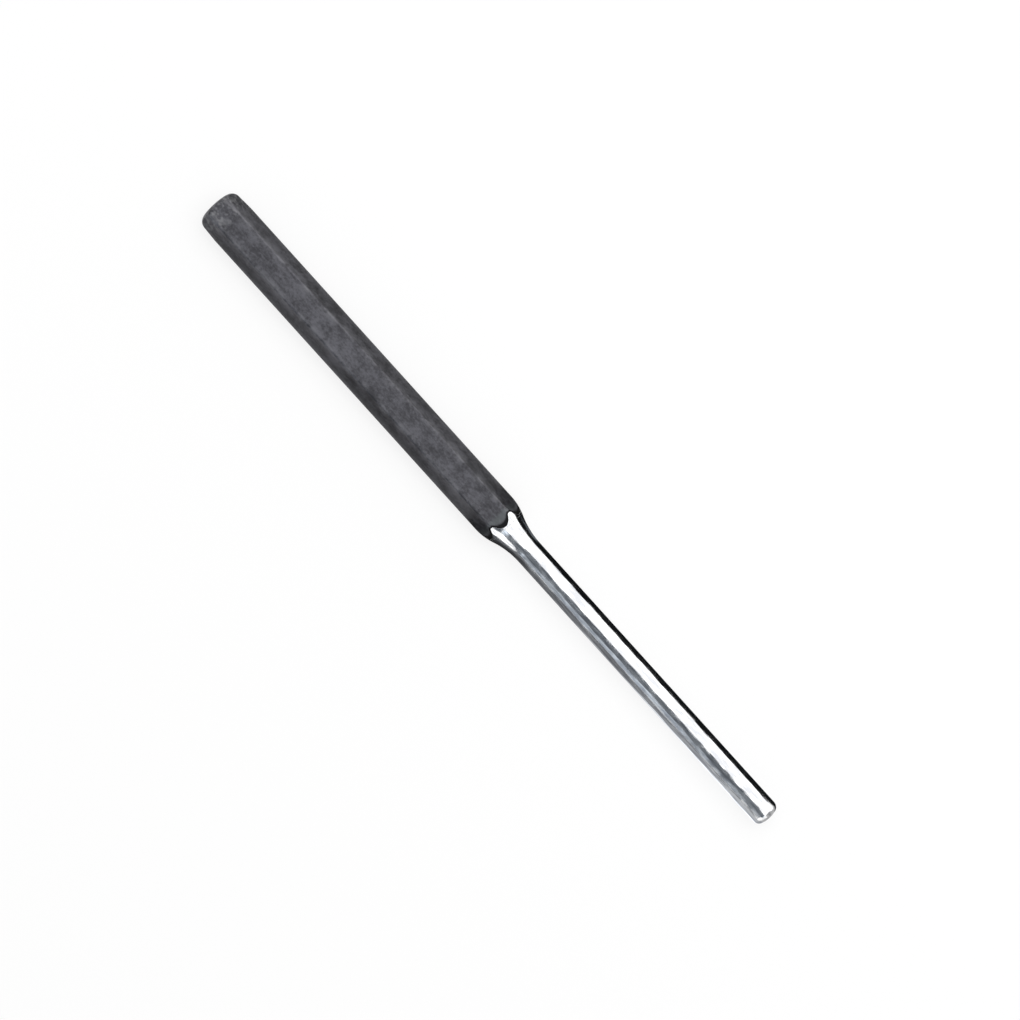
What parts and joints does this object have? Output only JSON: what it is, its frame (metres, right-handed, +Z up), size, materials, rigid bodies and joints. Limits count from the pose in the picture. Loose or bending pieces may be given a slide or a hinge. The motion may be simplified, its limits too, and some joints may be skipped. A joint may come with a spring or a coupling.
{
  "type": "pin punch",
  "caption": "Straight pin punch with a black hexagonal struck body and a bright round pin that drives out fitted pins, joined by a flared neck.",
  "frame": {"origin": "centre of the bounding box in X and Y, on the surface that the punch lies on, with one flat of the hexagon down", "axes": "+X along the punch from the struck head to the tip, +Z up from the flat that it rests on, +Y to the left when looking along +X"},
  "size_m": [0.1842, 0.0108, 0.0095],
  "materials": {
    "black_steel": "satin",
    "bright_steel": "polished"
  },
  "bodies": {
    "root": {"handle": "black_steel", "pin": "bright_steel"}
  },
  "joints": []
}
